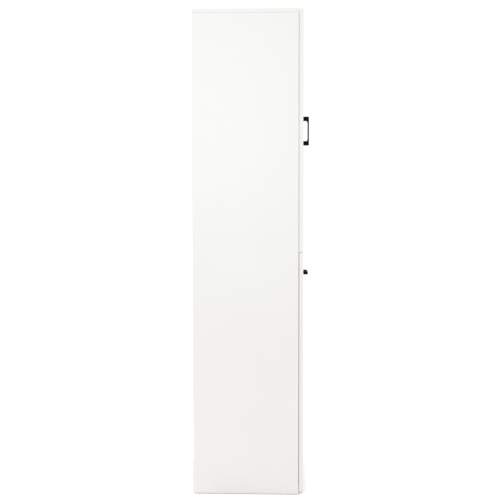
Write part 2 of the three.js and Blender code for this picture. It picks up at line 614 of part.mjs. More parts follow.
// Room in a leaf for the other leaf's knuckles.
function knuckleRoom(parity) {
  const rooms = [];
  const reach = KNUCKLE_RADIUS + 2 * FIT;
  for (let index = parity; index < KNUCKLE_COUNT; index += 2) {
    const startX = -halfHinge + index * KNUCKLE_LENGTH - FIT / 2;
    rooms.push(block([startX, -reach - OVER, -reach], [startX + KNUCKLE_LENGTH + FIT, reach, reach]));
  }
  return rooms;
}

function fixedLeaf() {
  const top = BOTTOM_PANEL_Z - TILT_AXIS.z;
  const sheet = block([-halfHinge, 0, top - LEAF_SHEET], [halfHinge, LEAF_REACH, top]);
  const pinHole = rod('x', [-halfHinge - OVER, 0, 0], 2 * (halfHinge + OVER), KNUCKLE_PIN_RADIUS + FIT);
  return cut(join(cut(sheet, ...knuckleRoom(0)), ...knuckles(1)), pinHole);
}

function tiltingLeaf() {
  const face = FRONT_BACK_Y - TILT_AXIS.y;
  const sheet = block([-halfHinge, face, 0], [halfHinge, face + LEAF_SHEET, LEAF_REACH]);
  const pinHalf = halfHinge - KNUCKLE_PIN_INSET;
  const pin = rod('x', [-pinHalf, 0, 0], 2 * pinHalf, KNUCKLE_PIN_RADIUS, SIDES_TINY);
  return join(cut(sheet, ...knuckleRoom(1)), ...knuckles(0), pin);
}

for (const [sideName, hingeX] of Object.entries(FLAP_HINGES_X)) {
  for (const [name, leaf] of [['fixed_leaf', fixedLeaf()], ['tilting_leaf', tiltingLeaf()]]) {
    const mesh = place(`flap_hinge_${name}_${sideName}`, leaf, nickelSteel);
    mesh.position.set(hingeX, TILT_AXIS.y, TILT_AXIS.z);
  }
}

// ---- Pegs on the cheeks and the blocks that stop them when the bin is fully out ----
const PEG_RADIUS = 4;
const PEG_LENGTH = 8;
const PEG_ARM = { y: 215, z: 400 }; // from the tilt axis
const STOP_WIDTH = 10;
const STOP_DEPTH = 14;
const STOP_HALF_HEIGHT = 20;
const pegOut = {
  y: TILT_AXIS.y + PEG_ARM.y * Math.cos(TILT_ANGLE) - PEG_ARM.z * Math.sin(TILT_ANGLE),
  z: TILT_AXIS.z + PEG_ARM.y * Math.sin(TILT_ANGLE) + PEG_ARM.z * Math.cos(TILT_ANGLE),
};

for (const [sideName, side] of [['left', -1], ['right', 1]]) {
  const pegX = side > 0 ? CHEEK_OUTER_X : -CHEEK_OUTER_X - PEG_LENGTH;
  const pegStart = [pegX, TILT_AXIS.y + PEG_ARM.y, TILT_AXIS.z + PEG_ARM.z];
  place(`stop_peg_${sideName}`, rod('x', pegStart, PEG_LENGTH, PEG_RADIUS, SIDES_MEDIUM), greyPlastic);
  const blockX = side > 0 ? INNER_X - STOP_WIDTH : -INNER_X;
  const stopRear = pegOut.y - PEG_RADIUS - FIT;
  place(`stop_block_${sideName}`, block(
    [blockX, stopRear - STOP_DEPTH, pegOut.z - STOP_HALF_HEIGHT],
    [blockX + STOP_WIDTH, stopRear, pegOut.z + STOP_HALF_HEIGHT],
  ), greyPlastic);
}

export default cabinet;
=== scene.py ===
"""Looks of the locker cabinet: finishes, fittings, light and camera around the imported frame."""

import itertools
import math
from collections import namedtuple

import bmesh
import bpy
from mathutils import Matrix, Vector


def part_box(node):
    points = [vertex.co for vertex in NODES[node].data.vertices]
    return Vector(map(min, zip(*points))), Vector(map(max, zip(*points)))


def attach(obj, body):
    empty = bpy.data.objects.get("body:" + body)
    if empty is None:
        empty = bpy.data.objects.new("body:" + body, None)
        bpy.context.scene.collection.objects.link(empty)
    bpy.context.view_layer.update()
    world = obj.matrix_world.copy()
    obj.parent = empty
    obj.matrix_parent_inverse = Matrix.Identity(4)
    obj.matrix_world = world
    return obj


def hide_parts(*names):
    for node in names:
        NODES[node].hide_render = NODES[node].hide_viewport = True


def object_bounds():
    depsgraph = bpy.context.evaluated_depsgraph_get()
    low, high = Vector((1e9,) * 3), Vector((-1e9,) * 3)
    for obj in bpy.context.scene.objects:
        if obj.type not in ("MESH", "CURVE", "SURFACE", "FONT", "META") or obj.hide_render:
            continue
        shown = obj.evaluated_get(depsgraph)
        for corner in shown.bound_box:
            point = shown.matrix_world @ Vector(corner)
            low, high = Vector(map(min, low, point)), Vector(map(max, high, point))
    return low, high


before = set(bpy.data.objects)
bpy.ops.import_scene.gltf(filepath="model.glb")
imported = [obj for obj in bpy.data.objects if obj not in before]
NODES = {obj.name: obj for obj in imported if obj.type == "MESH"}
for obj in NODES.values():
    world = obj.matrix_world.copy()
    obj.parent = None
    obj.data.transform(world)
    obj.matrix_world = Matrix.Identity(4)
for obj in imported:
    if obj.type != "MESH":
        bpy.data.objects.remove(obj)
CAD_BOX = [list(corner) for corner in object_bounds()]
MM = 0.001
X, Y, Z = range(3)
scene = bpy.context.scene


# ---------------------------------------------------------------- materials
NOISE_LOW, NOISE_HIGH = 0.3, 0.7  # where most of a noise texture's values lie
MIX_FACTOR, MIX_FIRST, MIX_SECOND, MIX_RESULT = 0, 6, 7, 2  # a colour mix node's sockets


class Surface:
    """A Principled material whose inputs are fed by small node chains in the object's own coordinates."""

    def __init__(self, name, **constants):
        self.material = bpy.data.materials.new(name)
        self.material.use_nodes = True
        self.tree = self.material.node_tree
        self.shader = self.tree.nodes["Principled BSDF"]
        for socket, value in constants.items():
            self.shader.inputs[socket.replace("_", " ")].default_value = value
        self.place = self.tree.nodes.new("ShaderNodeTexCoord").outputs["Object"]

    def feed(self, socket, value):
        if isinstance(value, bpy.types.NodeSocket):
            self.tree.links.new(value, socket)
        elif value is not None:
            socket.default_value = value

    def math(self, operation, first, second=None, third=None):
        node = self.tree.nodes.new("ShaderNodeMath")
        node.operation = operation
        for socket, value in zip(node.inputs, (first, second, third)):
            self.feed(socket, value)
        return node.outputs[0]

    def stretched(self, scale, source=None):
        node = self.tree.nodes.new("ShaderNodeMapping")
        self.feed(node.inputs["Vector"], source or self.place)
        node.inputs["Scale"].default_value = scale
        return node.outputs[0]

    def noise(self, scale, detail=3.0, roughness=0.5, source=None, output="Fac"):
        node = self.tree.nodes.new("ShaderNodeTexNoise")
        self.feed(node.inputs["Vector"], source or self.place)
        node.inputs["Scale"].default_value = scale
        node.inputs["Detail"].default_value = detail
        node.inputs["Roughness"].default_value = roughness
        return node.outputs[output]

    def cells(self, scale, source):
        """One random value for each cell."""
        node = self.tree.nodes.new("ShaderNodeTexVoronoi")
        self.feed(node.inputs["Vector"], source)
        node.inputs["Scale"].default_value = scale
        red = self.tree.nodes.new("ShaderNodeSeparateColor")
        self.feed(red.inputs[0], node.outputs["Color"])
        return red.outputs[0]

    def between(self, value, low, high):
        """A noise value, stretched so that it mostly runs from low to high."""
        node = self.tree.nodes.new("ShaderNodeMapRange")
        self.feed(node.inputs["Value"], value)
        node.inputs["From Min"].default_value = NOISE_LOW
        node.inputs["From Max"].default_value = NOISE_HIGH
        node.inputs["To Min"].default_value = low
        node.inputs["To Max"].default_value = high
        return node.outputs[0]

    def blend(self, factor, first, second):
        node = self.tree.nodes.new("ShaderNodeMix")
        node.data_type = "RGBA"
        self.feed(node.inputs[MIX_FACTOR], factor)
        self.feed(node.inputs[MIX_FIRST], (*first, 1) if isinstance(first, tuple) else first)
        self.feed(node.inputs[MIX_SECOND], (*second, 1) if isinstance(second, tuple) else second)
        return node.outputs[MIX_RESULT]

    def mottled(self, scale, first, second):
        """A colour that drifts between two, over patches of a size set by the scale."""
        return self.blend(self.between(self.noise(scale), 0, 1), first, second)

    def axes(self, vector):
        node = self.tree.nodes.new("ShaderNodeSeparateXYZ")
        self.feed(node.inputs[0], vector)
        return node.outputs

    def any_of(self, masks):
        found = masks[0]
        for mask in masks[1:]:
            found = self.math("MAXIMUM", found, mask)
        return found

    def near_planes(self, planes, reach):
        """A mask of what lies within reach of any of the planes, each an axis and a place along it."""
        place = self.axes(self.place)
        return self.any_of([self.math("COMPARE", place[axis], plane, reach) for axis, plane in planes])

    def facing(self, faces):
        """A mask of the faces that look along any of the directions, each an axis and a sign."""
        turned = self.tree.nodes.new("ShaderNodeVectorTransform")
        turned.vector_type = "NORMAL"
        turned.convert_from = "WORLD"
        turned.convert_to = "OBJECT"
        self.feed(turned.inputs[0], self.tree.nodes.new("ShaderNodeNewGeometry").outputs["True Normal"])
        normal = self.axes(turned.outputs[0])
        along = [self.math("MULTIPLY", normal[axis], sign) for axis, sign in faces]
        return self.any_of([self.math("GREATER_THAN", share, FACING_LIMIT) for share in along])

    def bump(self, height, depth, strength=0.5):
        """Adds a relief of the given depth in metres to the ones already there."""
        node = self.tree.nodes.new("ShaderNodeBump")
        node.inputs["Distance"].default_value = depth
        node.inputs["Strength"].default_value = strength
        self.feed(node.inputs["Height"], height)
        normal = self.shader.inputs["Normal"]
        if normal.is_linked:
            self.feed(node.inputs["Normal"], normal.links[0].from_socket)
        self.feed(normal, node.outputs[0])

    def color(self, value):
        self.feed(self.shader.inputs["Base Color"], value)

    def roughness(self, value):
        self.feed(self.shader.inputs["Roughness"], value)


WHITE = (0.741, 0.723, 0.695)
WHITE_WARM = (0.731, 0.711, 0.680)
FINE_GRAIN = (0.62, 0.61, 0.59)
EDGING_WHITE = (0.722, 0.701, 0.671)
SEAM_SHADE = (0.56, 0.54, 0.50)
# painted shade: stands in for the shadow inside the open joint where the top board lies on a side panel
JOINT_PAINTED_SHADE = (0.14, 0.13, 0.12)
CHIP_LIGHT = (0.60, 0.47, 0.31)
CHIP_DARK = (0.34, 0.235, 0.14)
FIBRE_LIGHT = (0.36, 0.25, 0.155)
FIBRE_DARK = (0.25, 0.165, 0.098)
FIBRE_PALE = (0.43, 0.31, 0.20)
BAND = 0.8 * MM  # thickness of the edging glued on a board's edges
SEAM_HALF = 0.16 * MM  # half the width of the glue line beside the edging
SEAM_DEPTH = 0.06 * MM
JOINT_HALF = 0.19 * MM  # half the width of the line of painted shade where the top board lies on a side panel, standing in for the shadow inside the open joint
EDGING_SKIN = 0.2 * MM  # how close to a narrow face a point has to be to lie on its edging
FACING_LIMIT = 0.9  # cosine of the widest angle at which a face still looks along an axis
CHIP_DRIFT = 0.9 * MM  # how far the outlines of the chips wander
CHIP_STRETCH = 0.36  # chips lie flat: they are wider than they are thick
CHIP_SIZES = ((480, 0.35), (1100, 0.35))  # cells per metre, and their share in the tone
DUST_SHARE = 0.3


def chipboard(surface, thin):
    """Pressed wood chips, as a board's raw edge shows them. thin: the board's thin axis."""
    wobble = surface.tree.nodes.new("ShaderNodeVectorMath")
    wobble.operation = "MULTIPLY_ADD"
    surface.feed(wobble.inputs[0], surface.noise(320, 2, output="Color"))
    wobble.inputs[1].default_value = (CHIP_DRIFT, CHIP_DRIFT, CHIP_DRIFT)
    surface.feed(wobble.inputs[2], surface.place)
    flat = [1.0 if axis == thin else CHIP_STRETCH for axis in (X, Y, Z)]
    lying = surface.stretched(flat, wobble.outputs[0])
    tone = surface.math("MULTIPLY", surface.noise(2600, 4, 0.65), DUST_SHARE)
    for scale, share in CHIP_SIZES:
        tone = surface.math("MULTIPLY_ADD", surface.cells(scale, lying), share, tone)
    return surface.blend(surface.between(tone, 0, 1), CHIP_DARK, CHIP_LIGHT)


def melamine(node, raw=(), joint=None):
    """White melamine foil on a board, with a faint glue line beside its edging.

    raw: faces left as chipboard, each as an axis and a sign.
    joint: the height at which the board meets another; a dark line painted there stands in for the shade
    inside the open joint.
    """
    low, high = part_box(node)
    size = high - low
    thin = min((X, Y, Z), key=lambda axis: size[axis])
    wide_axes = [axis for axis in (X, Y, Z) if axis != thin]

    def rim(inset):
        return [(axis, plane) for axis in wide_axes for plane in (low[axis] + inset, high[axis] - inset)]

    surface = Surface("melamine_" + node, Specular_IOR_Level=0.42)
    fine = surface.noise(1700, 2, 0.6)
    line = surface.near_planes(rim(BAND), SEAM_HALF)
    tint = surface.mottled(3.1, WHITE, WHITE_WARM)
    tint = surface.blend(surface.between(fine, 0, 0.06), tint, FINE_GRAIN)
    tint = surface.blend(surface.near_planes(rim(0), EDGING_SKIN), tint, EDGING_WHITE)
    tint = surface.blend(surface.math("MULTIPLY", line, 0.6), tint, SEAM_SHADE)
    if joint is not None:
        # painted shade: a dark line at the joint, in place of the shadow inside the gap between the boards
        tint = surface.blend(surface.near_planes([(Z, joint)], JOINT_HALF), tint, JOINT_PAINTED_SHADE)
    if raw:
        tint = surface.blend(surface.facing(raw), tint, chipboard(surface, thin))
    surface.color(tint)
    surface.roughness(surface.between(surface.noise(40, 4), 0.40, 0.50))
    surface.bump(line, -SEAM_DEPTH, 0.6)
    surface.bump(surface.noise(620, 3, 0.55), 0.05 * MM)
    surface.bump(fine, 0.02 * MM)
    return surface.material


def hardboard():
    """Thin hardboard: white lacquer on the inside face, bare pressed fibre on the outside."""
    surface = Surface("hardboard", Specular_IOR_Level=0.3)
    fibre = surface.noise(900, 5, 0.65, surface.stretched((1, 1, 0.4)))
    blotch = surface.noise(18, 4)
    brown = surface.blend(surface.between(fibre, 0, 1), FIBRE_LIGHT, FIBRE_DARK)
    brown = surface.blend(surface.between(blotch, 0, 0.35), brown, FIBRE_PALE)
    white = surface.blend(surface.between(blotch, 0, 1), WHITE, WHITE_WARM)
    low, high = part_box("back_panel")
    outside = surface.math("GREATER_THAN", surface.axes(surface.place)[Y], (low.y + high.y) / 2)
    surface.color(surface.blend(outside, white, brown))
    surface.roughness(surface.math("MULTIPLY_ADD", outside, 0.22, surface.between(blotch, 0.5, 0.6)))
    surface.bump(fibre, 0.08 * MM)
    return surface.material


def powder_coat():
    """Satin black powder coat with its fine orange peel."""
    surface = Surface("black_powder_coat", Specular_IOR_Level=0.03)
    surface.color(surface.mottled(700, (0.0026, 0.0026, 0.0028), (0.0050, 0.0049, 0.0051)))
    surface.roughness(surface.between(surface.noise(160), 0.40, 0.52))
    surface.bump(surface.noise(1900, 2), 0.05 * MM, 0.6)
    return surface.material


def nickel():
    """Nickel plate over pressed steel, with faint rolling lines."""
    surface = Surface("nickel_plate", Metallic=1.0)
    lines = surface.noise(60, 3, 0.6, surface.stretched((40, 40, 3)))
    surface.color(surface.mottled(600, (0.72, 0.71, 0.69), (0.66, 0.65, 0.63)))
    surface.roughness(surface.between(lines, 0.24, 0.40))
    surface.bump(lines, 0.015 * MM)
    return surface.material


def moulded(name, light, dark, smooth, rough):
    """Moulded plastic with a spark-eroded grain."""
    surface = Surface(name, Specular_IOR_Level=0.4)
    grain = surface.noise(1600, 3, 0.6)
    surface.color(surface.mottled(90, light, dark))
    surface.roughness(surface.between(grain, smooth, rough))
    surface.bump(grain, 0.04 * MM, 0.6)
    return surface.material


def soft_rubber():
    """Cloudy transparent bumper gel."""
    surface = Surface("clear_rubber", Transmission_Weight=0.55, IOR=1.42)
    surface.color(surface.mottled(300, (0.86, 0.87, 0.85), (0.76, 0.77, 0.74)))
    surface.roughness(surface.between(surface.noise(500), 0.22, 0.36))
    surface.bump(surface.noise(700, 2), 0.02 * MM)
    return surface.material


BLACK = powder_coat()
NICKEL = nickel()
WHITE_PLASTIC = moulded("white_plastic", (0.80, 0.80, 0.78), (0.74, 0.74, 0.72), 0.42, 0.55)
GREY_PLASTIC = moulded("grey_plastic", (0.27, 0.275, 0.28), (0.22, 0.225, 0.23), 0.45, 0.60)
RUBBER = soft_rubber()


# ---------------------------------------------------------------- mesh helpers
def middle(node):
    """The middle of a CAD node's box."""
    low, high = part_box(node)
    return (low + high) / 2


def finish_piece(name, made, body, material, replaces=()):
    """Turns a bmesh into a piece that rides a body, in place of the CAD nodes that it replaces."""
    mesh = bpy.data.meshes.new(name)
    made.normal_update()
    made.to_mesh(mesh)
    made.free()
    piece = bpy.data.objects.new(name, mesh)
    scene.collection.objects.link(piece)
    mesh.materials.append(material)
    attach(piece, body)
    if replaces:
        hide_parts(*replaces)
    return piece


SHARP_EDGE = math.radians(40)  # edges that turn by more than this are rounded


def smooth(piece):
    for polygon in piece.data.polygons:
        polygon.use_smooth = True


def soften(piece, width, segments):
    """Rounds a piece's sharp edges and smooths it."""
    smooth(piece)
    bevel = piece.modifiers.new("round_edges", "BEVEL")
    bevel.width = width
    bevel.segments = segments
    bevel.limit_method = "ANGLE"
    bevel.angle_limit = SHARP_EDGE
    bevel.harden_normals = True


def revolved(profile, segments=40):
    """A closed turned shape about Z. Its profile, as (radius, height), starts and ends on the axis."""
    made = bmesh.new()
    turns = [2 * math.pi * step / segments for step in range(segments)]
    rings = []
    for radius, height in profile:
        points = [(radius * math.cos(turn), radius * math.sin(turn), height) for turn in turns]
        rings.append([made.verts.new(point) for point in (points if radius else points[:1])])
    for upper, lower in zip(rings, rings[1:]):
        for step in range(segments):
            after = (step + 1) % segments
            if len(upper) == 1:
                made.faces.new((upper[0], lower[step], lower[after]))
            elif len(lower) == 1:
                made.faces.new((upper[step], lower[0], upper[after]))
            else:
                made.faces.new((upper[step], lower[step], lower[after], upper[after]))
    bmesh.ops.recalc_face_normals(made, faces=made.faces)
    return made


def aimed(direction, place):
    """Turns +Z to a direction and moves it to a place."""
    turn = Vector(direction).to_track_quat("Z", "Y").to_matrix().to_4x4()
    return Matrix.Translation(Vector(place)) @ turn


def prism(low, high):
    """A block from its lowest corner to its highest, as a tool to cut with."""
    made = bmesh.new()
    bmesh.ops.create_cube(made, size=1)
    size = [b - a for a, b in zip(low, high)]
    centre = [(a + b) / 2 for a, b in zip(low, high)]
    bmesh.ops.scale(made, vec=size, verts=made.verts)
    bmesh.ops.translate(made, vec=centre, verts=made.verts)
    return made


def carved(solid, *tools):
    """The solid with the tools cut out of it, as a new bmesh."""
    held = []
    for source in (solid, *tools):
        mesh = bpy.data.meshes.new("carving")
        source.to_mesh(mesh)
        source.free()
        thing = bpy.data.objects.new("carving", mesh)
        scene.collection.objects.link(thing)
        held.append(thing)
    for tool in held[1:]:
        cut = held[0].modifiers.new("cut", "BOOLEAN")
        cut.operation = "DIFFERENCE"
        cut.object = tool
        cut.solver = "EXACT"
    bpy.context.view_layer.update()
    evaluated = held[0].evaluated_get(bpy.context.evaluated_depsgraph_get())
    made = bmesh.new()
    made.from_mesh(evaluated.to_mesh())
    for thing in held:
        mesh = thing.data
        bpy.data.objects.remove(thing)
        bpy.data.meshes.remove(mesh)
    return made


# ---------------------------------------------------------------- boards
REAR_RAW = ((Y, 1),)
REAR_AND_FOOT_RAW = ((Y, 1), (Z, -1))
BOARD_EDGE = 0.4 * MM  # rounding of a board's edges
BACK_EDGE = 0.3 * MM
BOARDS = {  # each board's faces that are left as bare chipboard
    "side_panel_left": REAR_AND_FOOT_RAW,
    "side_panel_right": REAR_AND_FOOT_RAW,
    "top_panel": REAR_RAW,
    "bottom_panel": REAR_RAW,
    "divider_shelf": REAR_RAW,
    "wall_rail": (),
    "loose_shelf_lower": REAR_RAW,
    "loose_shelf_upper": REAR_RAW,
    "upper_door_panel": (),
    "tilt_front_panel": (),
    "bin_cheek_left": (),
    "bin_cheek_right": (),
    "bin_bottom": (),
    "bin_back": (),
}


def dress(node, material, width, segments=2):
    """Gives a CAD node its finish and rounded edges."""
    piece = NODES[node]
    piece.data.materials.clear()
    piece.data.materials.append(material)
    soften(piece, width, segments)


TOP_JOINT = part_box("top_panel")[0].z
for node, raw in BOARDS.items():
    meets_top = node in ("top_panel", "side_panel_left", "side_panel_right")
    dress(node, melamine(node, raw, TOP_JOINT if meets_top else None), BOARD_EDGE)
dress("back_panel", hardboard(), BACK_EDGE)


# ---------------------------------------------------------------- handles
HANDLE_OUTER = 2.6 * MM  # rounding of the outer corners
HANDLE_INNER = (11 * MM, 5.5 * MM)  # the curve from a foot into the bar, along and out
HANDLE_EDGE = 1.1 * MM
GRIP = 5 * MM  # thickness of the bar
FOOT = 16 * MM  # length of each foot
ARC_STEPS = 10


def arc(centre, radii, start, end):
    """Points on a quarter ellipse from one angle to another, in degrees."""
    points = []
    for step in range(ARC_STEPS + 1):
        turn = math.radians(start + (end - start) * step / ARC_STEPS)
        points.append((centre[0] + radii[0] * math.cos(turn), centre[1] + radii[1] * math.sin(turn)))
    return points


def bow_outline(length, reach):
    """The handle's side outline: along, out."""
    half = length / 2
    inside = half - FOOT
    under = reach - GRIP
    along, out = HANDLE_INNER
    outline = [(-half, 0), (-inside, 0)]
    outline += arc((-inside + along, under - out), (along, out), 180, 90)
    outline += arc((inside - along, under - out), (along, out), 90, 0)
    outline += [(inside, 0), (half, 0)]
    outline += arc((half - HANDLE_OUTER, reach - HANDLE_OUTER), (HANDLE_OUTER, HANDLE_OUTER), 0, 90)
    outline += arc((-half + HANDLE_OUTER, reach - HANDLE_OUTER), (HANDLE_OUTER, HANDLE_OUTER), 90, 180)
    return outline


def bow_handle(name, node, body, upright):
    """A bow handle in the box of its CAD node, upright or level."""
    low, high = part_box(node)
    centre = middle(node)
    reach = high.y - low.y
    along = high.z - low.z if upright else high.x - low.x
    width = high.x - low.x if upright else high.z - low.z
    made = bmesh.new()
    corners = []
    for shift, out in bow_outline(along, reach):
        if upright:
            corners.append(made.verts.new((low.x, high.y - out, centre.z + shift)))
        else:
            corners.append(made.verts.new((centre.x + shift, high.y - out, low.z)))
    side = made.faces.new(corners)
    grown = bmesh.ops.extrude_face_region(made, geom=[side])
    moved = [item for item in grown["geom"] if isinstance(item, bmesh.types.BMVert)]
    bmesh.ops.translate(made, vec=(width, 0, 0) if upright else (0, 0, width), verts=moved)
    bmesh.ops.recalc_face_normals(made, faces=made.faces)
    piece = finish_piece(name, made, body, BLACK, [node])
    soften(piece, HANDLE_EDGE, segments=4)


bow_handle("bow_handle_upper", "upper_handle", "upper_door", upright=True)
bow_handle("bow_handle_lower", "lower_handle", "tilt_front", upright=False)


# ---------------------------------------------------------------- screws
Head = namedtuple("Head", "radius height")
PLATE_HEAD = Head(3.9 * MM, 1.3 * MM)
ARM_HEAD = Head(3.3 * MM, 1.1 * MM)
CUP_HEAD = Head(3.2 * MM, 0.45 * MM)
LEAF_HEAD = Head(3.0 * MM, 0.5 * MM)
STOP_HEAD = Head(3.2 * MM, 0.6 * MM)
BRACKET_HEAD = Head(4.2 * MM, 1.6 * MM)
STRIKE_HEAD = Head(2.8 * MM, 0.5 * MM)
DOME_STEPS = 7
HEAD_RIM = 0.35  # height of a head's edge, as a share of its height
NECK_DEPTH = 1.2 * MM  # how far a screw's neck goes in under its head
FIRST_TURN = 0.35
TURN_STEP = 0.8  # how much further each screw is turned than the one before it
head_meshes = {}
screw_numbers = itertools.count()


def screw_head(head):
    """A cross-recess head standing on Z = 0, with a short buried neck."""
    profile = [(0, head.height)]
    for step in range(1, DOME_STEPS + 1):
        turn = math.pi / 2 * step / DOME_STEPS
        level = HEAD_RIM + (1 - HEAD_RIM) * math.cos(turn)
        profile.append((head.radius * math.sin(turn), head.height * level))
    neck = 0.5 * head.radius
    shoulder = -0.02 * head.radius
    profile += [(head.radius, 0), (neck, shoulder), (neck, -NECK_DEPTH), (0, -NECK_DEPTH)]
    arm, slot, deep = 0.6 * head.radius, 0.14 * head.radius, 0.08 * head.height
    bars = [
        prism((-arm, -slot, deep), (arm, slot, 2 * head.height)),
        prism((-slot, -arm, deep), (slot, arm, 2 * head.height)),
    ]
    return carved(revolved(profile, segments=32), *bars)


def place_screw(name, place, direction, body, head, replaces=()):
    """Stands a screw's head on a face, looking in a direction."""
    if head not in head_meshes:
        source = screw_head(head)
        head_meshes[head] = bpy.data.meshes.new("screw_template")
        source.to_mesh(head_meshes[head])
        source.free()
    made = bmesh.new()
    made.from_mesh(head_meshes[head])
    twist = Matrix.Rotation(FIRST_TURN + TURN_STEP * next(screw_numbers), 4, "Z")
    bmesh.ops.transform(made, matrix=aimed(direction, place) @ twist, verts=made.verts)
    finish_piece(name, made, body, NICKEL, replaces)


def handle_screws(which, body, ends):
    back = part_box(f"{body}_panel")[1].y
    for end in ends:
        node = f"{which}_handle_screw_{end}"
        low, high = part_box(node)
        head = Head((high.x - low.x) / 2, high.y - back)
        seat = (middle(node).x, back, middle(node).z)
        place_screw(f"handle_screw_{which}_{end}", seat, (0, 1, 0), body, head, [node])


handle_screws("upper", "upper_door", ("lower", "upper"))
handle_screws("lower", "tilt_front", ("left", "right"))

WING_SCREW = 17 * MM  # distance of the plate's screws from the hinge's middle
CUP_SCREW = 25 * MM  # distance of the cup's screws from it
CUP_SCREW_SHIFT = 1 * MM  # how far they are off the middle of the cup
ARM_SCREWS = (0.42, 0.78)  # places of the arm's two screws, as shares of its length

for which in ("lower", "upper"):
    plate, arm, cup = (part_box(f"hinge_{part}_{which}") for part in ("plate", "arm", "cup"))
    level = middle(f"hinge_plate_{which}").z
    for label, end in (("below", -1), ("above", 1)):
        seat = (plate[0].x, (plate[0].y + plate[1].y) / 2, level + end * WING_SCREW)
        place_screw(f"plate_screw_{which}_{label}", seat, (-1, 0, 0), "carcass", PLATE_HEAD)
        seat = ((cup[0].x + cup[1].x) / 2 - CUP_SCREW_SHIFT, cup[1].y, level + end * CUP_SCREW)
        place_screw(f"cup_screw_{which}_{label}", seat, (0, 1, 0), "upper_door", CUP_HEAD)
    for number, share in enumerate(ARM_SCREWS, 1):
        seat = (arm[0].x, arm[0].y + share * (arm[1].y - arm[0].y), level)
        place_screw(f"arm_screw_{which}_{number}", seat, (-1, 0, 0), "carcass", ARM_HEAD)

LEAF_SHEET = 1.5 * MM
LEAF_SCREWS = ((-16 * MM, 20 * MM), (0, 29 * MM), (16 * MM, 20 * MM))  # along a leaf, and out from its rim

for side, inward in (("left", 1), ("right", -1)):
    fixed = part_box(f"flap_hinge_fixed_leaf_{side}")
    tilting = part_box(f"flap_hinge_tilting_leaf_{side}")
    centre_x = middle(f"flap_hinge_fixed_leaf_{side}").x
    for number, (along, out) in enumerate(LEAF_SCREWS, 1):
        seat = (centre_x + along, fixed[0].y + out, fixed[1].z - LEAF_SHEET)
        place_screw(f"fixed_leaf_screw_{side}_{number}", seat, (0, 0, -1), "carcass", LEAF_HEAD)
        seat = (centre_x + along, tilting[0].y + LEAF_SHEET, tilting[0].z + out)
        place_screw(f"tilting_leaf_screw_{side}_{number}", seat, (0, 1, 0), "tilt_front", LEAF_HEAD)
    stop = middle(f"stop_block_{side}")
    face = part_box(f"stop_block_{side}")[1 if inward > 0 else 0].x
    place_screw(f"stop_block_screw_{side}", (face, stop.y, stop.z), (inward, 0, 0), "carcass", STOP_HEAD)

BRACKET_SHEET = 2 * MM
BRACKET_SCREW = 25 * MM  # along each leg from the bracket's corner
BRACKET_SPREAD = 10 * MM  # to each side of its middle
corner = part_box("wall_bracket")[1]
for label, side in (("left", -1), ("right", 1)):
    x = side * BRACKET_SPREAD
    seat = (x, corner.y - BRACKET_SHEET, corner.z - BRACKET_SCREW)
    place_screw(f"bracket_wall_screw_{label}", seat, (0, -1, 0), "carcass", BRACKET_HEAD)
    seat = (x, corner.y - BRACKET_SCREW, corner.z - BRACKET_SHEET)
    place_screw(f"bracket_top_screw_{label}", seat, (0, 0, -1), "carcass", BRACKET_HEAD)

strike = middle("strike_plate")
seat = (strike.x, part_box("strike_plate")[1].y, strike.z)
place_screw("strike_plate_screw", seat, (0, 1, 0), "upper_door", STRIKE_HEAD)


# ---------------------------------------------------------------- bumpers, caps, nails
BUMPER_RIM = 0.25  # height of a bumper's edge, as a share of its height
BUMPER_STEPS = 8


def bumper(name, node, body):
    """A domed bumper in the box of its CAD node, standing off its front."""
    low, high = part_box(node)
    radius, height = (high.x - low.x) / 2, high.y - low.y
    profile = [(0, height)]
    for step in range(1, BUMPER_STEPS + 1):
        turn = math.pi / 2 * step / BUMPER_STEPS
        level = BUMPER_RIM + (1 - BUMPER_RIM) * math.cos(turn)
        profile.append((radius * math.sin(turn), height * level))
    profile += [(radius, 0), (0, 0)]
    made = revolved(profile)
    centre = (middle(node).x, low.y, middle(node).z)
    bmesh.ops.transform(made, matrix=aimed((0, 1, 0), centre), verts=made.verts)
    smooth(finish_piece(name, made, body, RUBBER, [node]))


bumper("bumper_door_lower", "upper_door_bumper_lower", "upper_door")
bumper("bumper_door_upper", "upper_door_bumper_upper", "upper_door")
bumper("bumper_front_left", "tilt_front_bumper_left", "tilt_front")
bumper("bumper_front_right", "tilt_front_bumper_right", "tilt_front")

CAP_RADIUS = 8.5 * MM
CAP_HEIGHT = 0.9 * MM
CAP_ROUNDING = 0.9 * MM
CAP_RIM = 0.4  # height of the cap's edge, as a share of its height
CAP_GROOVE = (5.2 * MM, 5.6 * MM, 6.2 * MM, 6.6 * MM)  # radii of the groove: edge, floor, floor, edge
CAP_GROOVE_FLOOR = 0.8  # height of the groove's floor, as a share of the cap's
CAP_STEPS = 4


def cap(name, place, direction):
    """A press-in cover over a cam fitting."""
    groove = zip(CAP_GROOVE, (1, CAP_GROOVE_FLOOR, CAP_GROOVE_FLOOR, 1))
    profile = [(0, CAP_HEIGHT)] + [(radius, CAP_HEIGHT * level) for radius, level in groove]
    for step in range(CAP_STEPS + 1):
        turn = math.pi / 2 * step / CAP_STEPS
        level = CAP_RIM + (1 - CAP_RIM) * math.cos(turn)
        profile.append((CAP_RADIUS - CAP_ROUNDING * (1 - math.sin(turn)), CAP_HEIGHT * level))
    profile += [(CAP_RADIUS, 0), (0, 0)]
    made = revolved(profile, segments=48)
    bmesh.ops.transform(made, matrix=aimed(direction, place), verts=made.verts)
    finish_piece(name, made, "carcass", WHITE_PLASTIC)


